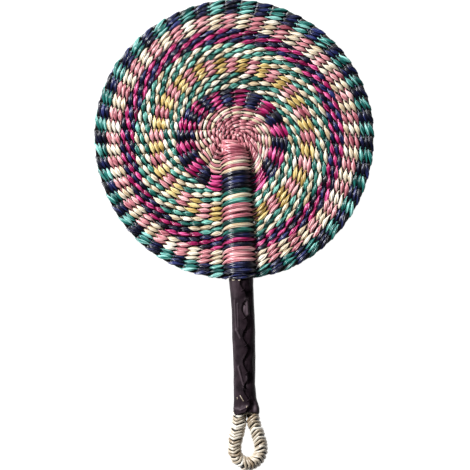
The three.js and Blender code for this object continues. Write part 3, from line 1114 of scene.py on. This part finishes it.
def grip_point(across, down):
    """Where a point of the flat leather lies on the handle."""
    turned = (1 - across) * (2 * math.pi + LAP)
    y = grip_high.y + down * (grip_low.y - grip_high.y)
    angle = lap_edge(y) - turned
    y -= edge_shift(angle, down)
    shares, *sides = zip(*GRIP_OUTLINE)
    left, right, depth = (np.interp(down, shares, side) * MM for side in sides)
    tucked = smooth((turned - 2 * math.pi + TUCK_START) / TUCK_EASE)
    out = creases(angle, y) - TUCK * tucked + LIP * smooth(1 - turned / LIP_EASE)
    if across < 0.5:
        out += SLIT_BULGE * in_spot(GRIP_HALF * math.sin(angle), y / MM, SLIT)
    x = handle_x + (right - left) / 2 + ((right + left) / 2 + out) * math.sin(angle)
    return Vector((x, y, mid_z + (depth + out) * math.cos(angle)))


print("middle of the grip's back, mm:", [round(side / MM, 1) for side in grip_point(0.5, 0.5)])

# %% Painted highlights and wear, and the finished grip
FOLD_RUB_AND_HIGHLIGHT_SHARE = 0.18
LEFT_LIGHT_SHARE = 0.024
LEFT_LIGHT_START = 4
LEFT_LIGHT_EASE = 8
SLIT_HIGHLIGHT_SHARE = 0.4
HEM_SHINE = (10.4, -288.4, 1.7, 2.8)
SHINE_SHARE = 0.55
LEATHER_THICK = 1.2 * MM
GRIP_CELLS = (160, 200)


def wear_and_painted_light(across, place):
    """How pale the leather is painted: highlights on its fold crests, partly real rubbing, on its lit left
    side, on a spot of the hem and in the slit.
    """
    x, y = (place.x - handle_x) / MM, place.y / MM
    if place.z < mid_z:
        return 0.0
    # Painted highlight on the fold crests, partly real rubbing, and a painted glint on a spot of the hem.
    rubbed_and_lit = FOLD_RUB_AND_HIGHLIGHT_SHARE * max(0.0, fold_height(x, y)) + SHINE_SHARE * in_spot(x, y, HEM_SHINE)
    # Painted highlight in the slit, where the under layer faces the light.
    if across < 0.5:
        rubbed_and_lit += SLIT_HIGHLIGHT_SHARE * in_spot(x, y, SLIT)
    # Painted light: the left side, which faces the lamp, is painted paler.
    rubbed_and_lit += LEFT_LIGHT_SHARE * smooth((LEFT_LIGHT_START - x) / LEFT_LIGHT_EASE)
    return min(1.0, rubbed_and_lit)


def leather_grip():
    """The wrapped leather, as one thick sheet."""
    bm = bmesh.new()
    bmesh.ops.create_grid(bm, x_segments=GRIP_CELLS[0], y_segments=GRIP_CELLS[1], size=0.5)
    worn_layer = bm.verts.layers.float.new("worn")
    for vertex in bm.verts:
        across, down = vertex.co.x + 0.5, 0.5 - vertex.co.y
        vertex.co = grip_point(across, down)
        vertex[worn_layer] = wear_and_painted_light(across, vertex.co)
    bmesh.ops.recalc_face_normals(bm, faces=bm.faces)
    front = max(bm.faces, key=lambda face: face.calc_center_median().z)
    if front.normal.z < 0:
        bmesh.ops.reverse_faces(bm, faces=bm.faces)
    piece = new_piece("leather_wrap", mesh_from(bm, "leather_wrap"), LEATHER)
    thick = piece.modifiers.new("thickness", "SOLIDIFY")
    thick.thickness = LEATHER_THICK
    thick.offset = -1
    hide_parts("leather_grip")
    return piece


grip = leather_grip()
facing = grip.data.polygons[0]
from_axis = facing.center - Vector((handle_x, facing.center.y, mid_z))
print("leather faces:", len(grip.data.polygons), "outward:", facing.normal.dot(from_axis) > 0)

# %% [markdown]
# ## Lacing
# A thin leather thong is sewn over the lapped edge, down the front, and short bits of pale thread lie at
# the hem and at the top edge. Their pale colour is partly painted highlight, standing in for small glints
# there. Each stitch comes up through the leather, crosses it and goes down again. One long curve in and
# out would spend most of its length unseen, so short swept strands do it, with their ends sunk into the
# leather.

# %% A stitch on the leather
STITCH_STEPS = 8
STITCH_RISE = 1.6
STITCH_ROUND = 0.5
STITCH_SUNK = 0.7


def over_leather(angle, y, lift):
    """A point on the leather's outside at this angle and height, lifted off it."""
    down = (grip_high.y - y) / (grip_high.y - grip_low.y)
    turned = (lap_edge(y) - angle) % (2 * math.pi)
    across = 1 - turned / (2 * math.pi + LAP)
    place = grip_point(across, min(1.0, max(0.0, down)))
    place.y = max(place.y, y)
    outward = Vector((math.sin(angle), 0, math.cos(angle)))
    return place + outward * lift


def stitch_route(start, end, width, tone):
    """A stitch from one hole to the other, both (angle, y), sunk at both ends."""
    route = []
    for k in range(STITCH_STEPS + 1):
        share = k / STITCH_STEPS
        angle = start[0] + share * (end[0] - start[0])
        y = start[1] + share * (end[1] - start[1])
        lift = width * (STITCH_RISE * math.sin(math.pi * share) ** STITCH_ROUND - STITCH_SUNK)
        route.append((over_leather(angle, y, lift), width, tone, 0.0))
    return route


print("points in a stitch:", STITCH_STEPS + 1)

# %% The thong and the thread
THONG_SECTION = ribbed_section(10, 0.5, 0.0)
LACE_COUNT = 9
LACE_FIRST = 0.7
LACE_SPARE = 0.6
LACE_REACH = 0.24
LACE_LEAN = 4.5 * MM
LACE_WIDTH = 0.5 * MM
THREAD_WIDTH = 0.5 * MM
THREAD_TONE = 0.4
HEM_GLINT_THREADS = (
    ((-0.45, -273.2), (-0.14, -280.4)),
    ((-0.76, -275.6), (-0.70, -277.6)),
    ((0.02, -287.0), (0.08, -285.2)),
    ((-0.80, -150.3), (-0.50, -150.5)),
    ((-0.24, -150.6), (0.00, -150.7)),
)


def lacing():
    """The thong along the lap, and pale thread at the hem and the top edge, whose colour partly paints
    glints.
    """
    routes = []
    for i in range(LACE_COUNT):
        y = grip_high.y + (i + LACE_FIRST) / (LACE_COUNT + LACE_SPARE) * (grip_low.y - grip_high.y)
        edge = lap_edge(y)
        lean = LACE_LEAN if i % 2 else -LACE_LEAN
        start, end = (edge - LACE_REACH, y + lean / 2), (edge + LACE_REACH, y - lean / 2)
        routes.append(stitch_route(start, end, LACE_WIDTH, MIDDLE_TONE))
    piece = sweep("thong_lacing", routes, THONG_SECTION, LEATHER)
    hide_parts("grip_lacing")
    threads = []
    # Pale thread: its pale colour partly paints small glints at the hem and at the top edge.
    for (from_angle, from_y), (to_angle, to_y) in HEM_GLINT_THREADS:
        start, end = (from_angle, from_y * MM), (to_angle, to_y * MM)
        threads.append(stitch_route(start, end, THREAD_WIDTH, THREAD_TONE))
    thread = sweep("hem_thread_glints", threads, THONG_SECTION, STRAW["natural"])
    return piece, thread


thong, thread = lacing()
leather_area = sum(face.area for face in grip.data.polygons)
print("lacing faces:", len(thong.data.polygons), "leather area, square mm:", round(leather_area / MM ** 2))

# %% [markdown]
# ## The hanging loop
# The loop is a bent bundle of dark stems, wrapped close with natural straw in hitches. The stems' near
# black colour also paints the shade in the gaps of the wrap. Real hitches could be modelled one by one,
# but at this size only their outside shows. So one strand is wound round the loop, and each turn bends at
# the front into a small V, whose point lies a little to the outside and runs along the loop. The route is
# the packed core's own: two straight tails, two legs that swell, and a round bottom.

# %% Route of the loop
LOOP_RADIUS = (loop_high.z - loop_low.z) / 2
LOOP_HALF = (loop_high.x - loop_low.x) / 2 - LOOP_RADIUS
LOOP_X = (loop_high.x + loop_low.x) / 2
LOOP_BOTTOM = loop_low.y + LOOP_RADIUS
SOCKET_HALF = 6.2 * MM
MOUTH_Y = core_low.y
WIDEST_Y = -331.5 * MM
SHOULDER = 24 * MM
SWELL = 14 * MM
ROUND_HANDLE = 0.5523
BEND_POINTS = 60
LOOP_POINTS = 400


def bezier(first, first_handle, last_handle, last):
    return geometry.interpolate_bezier(first, first_handle, last_handle, last, BEND_POINTS)


def loop_line():
    """Evenly spaced points along the middle of the loop, from the left tail round to the right one."""
    half_line = []
    for side in (-1, 1):
        tail = Vector((handle_x + side * SOCKET_HALF, loop_high.y, mid_z))
        mouth = Vector((tail.x, MOUTH_Y, mid_z))
        widest = Vector((LOOP_X + side * LOOP_HALF, WIDEST_Y, mid_z))
        bottom = Vector((LOOP_X, LOOP_BOTTOM, mid_z))
        leg = bezier(mouth, mouth - Vector((0, SHOULDER, 0)), widest + Vector((0, SWELL, 0)), widest)
        down = Vector((0, ROUND_HANDLE * (WIDEST_Y - LOOP_BOTTOM), 0))
        inward = Vector((side * ROUND_HANDLE * LOOP_HALF, 0, 0))
        bend = bezier(widest, widest - down, bottom + inward, bottom)
        half_line.append([tail] + leg + bend[1:])
    points = np.array(half_line[0] + half_line[1][-2::-1])
    lengths = run_along(points)
    even = np.linspace(0, lengths[-1], LOOP_POINTS)
    return even, np.stack([np.interp(even, lengths, points[:, i]) for i in range(3)], axis=1)


loop_run, loop_points = loop_line()
print("loop length, mm:", round(loop_run[-1] / MM, 1))

# %% Places along the loop
LOOK_AHEAD = 0.5 * MM


def loop_place(run):
    return Vector([np.interp(run, loop_run, loop_points[:, i]) for i in range(3)])


def loop_frame(run):
    """The middle of the loop and its outer side, this far along it."""
    direction = (loop_place(run + LOOK_AHEAD) - loop_place(run - LOOK_AHEAD)).normalized()
    return loop_place(run), direction.cross(Vector((0, 0, 1)))


print("half way along the loop, mm:", [round(side / MM, 1) for side in loop_place(loop_run[-1] / 2)])

# %% The line of the wrapping strand
WRAP_SEED = 77
WRAP_TURNS = 37
WRAP_STEPS = 30
WRAP_START_Y = -290 * MM
WRAP_RIDE = 6.5 * MM
V_DEPTH = 8.5 * MM
V_PLACE = 0.12
V_RISE = 0.7 * MM
V_WIDTH = 0.35
SHIFT_SPREAD = 0.3 * MM
LEAN_SPREAD = 0.2
SWELL_SPREAD = 0.25 * MM
TURN_TONE_SPREAD = 0.2
LEFT_SWELL = 1.5 * MM
LEFT_SWELL_Y = -306 * MM
LEFT_SWELL_REACH = 17 * MM


def wrap_line():
    """The middle of the wrapping strand, each point with its direction off the loop and its tone."""
    inside = np.flatnonzero(loop_points[:, 1] < WRAP_START_Y)
    first, last = loop_run[inside[0]], loop_run[inside[-1]]
    pick = random.Random(WRAP_SEED)
    spreads = (SHIFT_SPREAD, LEAN_SPREAD, SWELL_SPREAD, TURN_TONE_SPREAD)
    moods = [[pick.gauss(0, spread) for spread in spreads] for _ in range(WRAP_TURNS + 2)]
    line = []
    for k in range(WRAP_TURNS * WRAP_STEPS + 1):
        turns = k / WRAP_STEPS
        shift, lean, swell, shade = moods[int(turns)]
        angle = (2 * math.pi * turns) % (2 * math.pi) - math.pi
        from_point = (angle - V_PLACE - lean + math.pi) % (2 * math.pi) - math.pi
        run = first + (last - first) * turns / WRAP_TURNS
        blend = math.cos(angle / 2)
        run += V_DEPTH * (0.5 - abs(from_point) / math.pi) + shift * blend
        place, outer = loop_frame(min(last, max(first, run)))
        away = Vector((0, 0, 1)) * math.cos(angle) + outer * math.sin(angle)
        ride = WRAP_RIDE + V_RISE * bell(from_point, V_WIDTH) + swell * blend
        if place.x < LOOP_X:
            ride += LEFT_SWELL * max(0.0, -math.sin(angle)) * bell(place.y - LEFT_SWELL_Y, LEFT_SWELL_REACH)
        line.append((place + away * ride, away, MIDDLE_TONE + shade))
    return line


wrap_points = wrap_line()
print("points in the wrap:", len(wrap_points))

# %% Wrap and core of the loop
WRAP_HALF_WIDTH = 1.4 * MM
WRAP_HALF_THICK = 0.9 * MM
WRAP_SIDES = 12
WRAP_RUN = 1.1
WELD_REACH = 0.01 * MM
LOOP_STEM_EXTRA = 2.7 * MM
LOOP_STEM_TONE = 0.35
LOOP_STEM_STEP = 3


def loop_wrap(line):
    """The wrapping strand: a long grid bent round the strand's middle and closed along its side."""
    end = len(line) - 1
    bm = bmesh.new()
    bmesh.ops.create_grid(bm, x_segments=end, y_segments=WRAP_SIDES, size=0.5)
    tone_layer = bm.verts.layers.float.new("tone")
    place_layer = bm.verts.layers.float_vector.new("straw_place")
    for vertex in bm.verts:
        k = round((vertex.co.x + 0.5) * end)
        turn = (vertex.co.y + 0.5) * 2 * math.pi
        place, away, tone = line[k]
        ahead = (line[min(k + 1, end)][0] - line[max(k - 1, 0)][0]).normalized()
        side = ahead.cross(away).normalized()
        across = WRAP_HALF_WIDTH * math.cos(turn)
        vertex.co = place + side * across + away * WRAP_HALF_THICK * math.sin(turn)
        vertex[tone_layer] = tone
        vertex[place_layer] = (k * WRAP_RUN * MM, across, 0)
    bmesh.ops.remove_doubles(bm, verts=bm.verts, dist=WELD_REACH)
    fill_rims(bm)
    bmesh.ops.recalc_face_normals(bm, faces=bm.faces)
    piece = new_piece("loop_straw_wrap", mesh_from(bm, "loop_straw_wrap"), STRAW["natural"])
    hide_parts("loop_wrap")
    return piece


def loop_bundle():
    """The stems inside the loop, seen in the gaps of the wrap."""
    radius = LOOP_RADIUS + LOOP_STEM_EXTRA
    route = [(Vector(point), radius, LOOP_STEM_TONE, 0.0) for point in loop_points[::LOOP_STEM_STEP]]
    # Near-black stems: their colour also paints the shade in the gaps of the wrap.
    piece = sweep("loop_stem_bundle", [route], ROUND_SECTION, STRAW["stem"])
    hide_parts("loop_core")
    return piece


print("loop faces:", len(loop_wrap(wrap_points).data.polygons), len(loop_bundle().data.polygons))

# %% [markdown]
# ## Floor, light and camera
# The photograph is a plain product picture: a pale ground, soft light from the upper left and a camera
# that looks straight at the front. The fan lies on its back here, so the camera looks straight down. A
# wide lens close by would fill the frame as well, but a long lens far away keeps the disc round.

# %% Floor
FLOOR_HALF = 6
FLOOR_GAP = 0.5 * MM
WHITE = (1, 1, 1, 1)
FLOOR_LOOK = {
    "Base Color": (0.15, 0.15, 0.15, 1),
    "Roughness": 0.9,
    "Emission Color": WHITE,
    "Emission Strength": 1.0,
}


def pale_floor():
    bm = bmesh.new()
    bmesh.ops.create_grid(bm, x_segments=1, y_segments=1, size=FLOOR_HALF)
    mesh = mesh_from(bm, "floor")
    mesh.transform(Matrix.Translation((0, 0, cad_low.z - FLOOR_GAP)))
    material, _ = new_finish("pale_floor", FLOOR_LOOK)
    mesh.materials.append(material)
    floor = put_in_scene("floor", mesh)


pale_floor()
print("floor at, mm:", round((cad_low.z - FLOOR_GAP) / MM, 1))

# %% Lights
LIGHTS = (
    ("key_light", (-3.9, 2.4, 3.0), 0.98, 530),
    ("fill_light", (0.2, 2.2, 1.8), 1.2, 24),
)
LIGHT_AIM = Vector((0, -0.1, 0))
SKY_STRENGTH = 0.06


def soft_light(name, place, size, power):
    data = bpy.data.lights.new(name, "AREA")
    data.size = size
    data.energy = power
    light = put_in_scene(name, data)
    light.location = place
    light.rotation_euler = (LIGHT_AIM - Vector(place)).to_track_quat("-Z", "Y").to_euler()


for light_row in LIGHTS:
    soft_light(*light_row)
world = bpy.context.scene.world or bpy.data.worlds.new("studio")
bpy.context.scene.world = world
world.use_nodes = True
set_inputs(world.node_tree.nodes["Background"], {"Color": WHITE, "Strength": SKY_STRENGTH})
bpy.context.scene.view_settings.view_transform = "Standard"
print("lights:", [name for name, _, _, _ in LIGHTS])

# %% Camera
PHOTO_WIDTH = 503.6 * MM
PHOTO_CENTRE = Vector((-2.5, -102.2, 0)) * MM
LENS = 200
SENSOR = 36
ROLL = math.radians(-1.84)
FARTHEST = 50


def photo_camera():
    data = bpy.data.cameras.new("photo_camera")
    data.lens, data.sensor_width = LENS, SENSOR
    data.clip_end = FARTHEST
    camera = put_in_scene("photo_camera", data)
    distance = PHOTO_WIDTH * LENS / SENSOR
    camera.location = PHOTO_CENTRE + Vector((0, 0, mid_z + distance))
    camera.rotation_euler = (0, 0, ROLL)
    bpy.context.scene.camera = camera
    return distance


print("camera distance, m:", round(photo_camera(), 2))

# %% [markdown] ## Sizes What was made has to keep the size of the packed model.
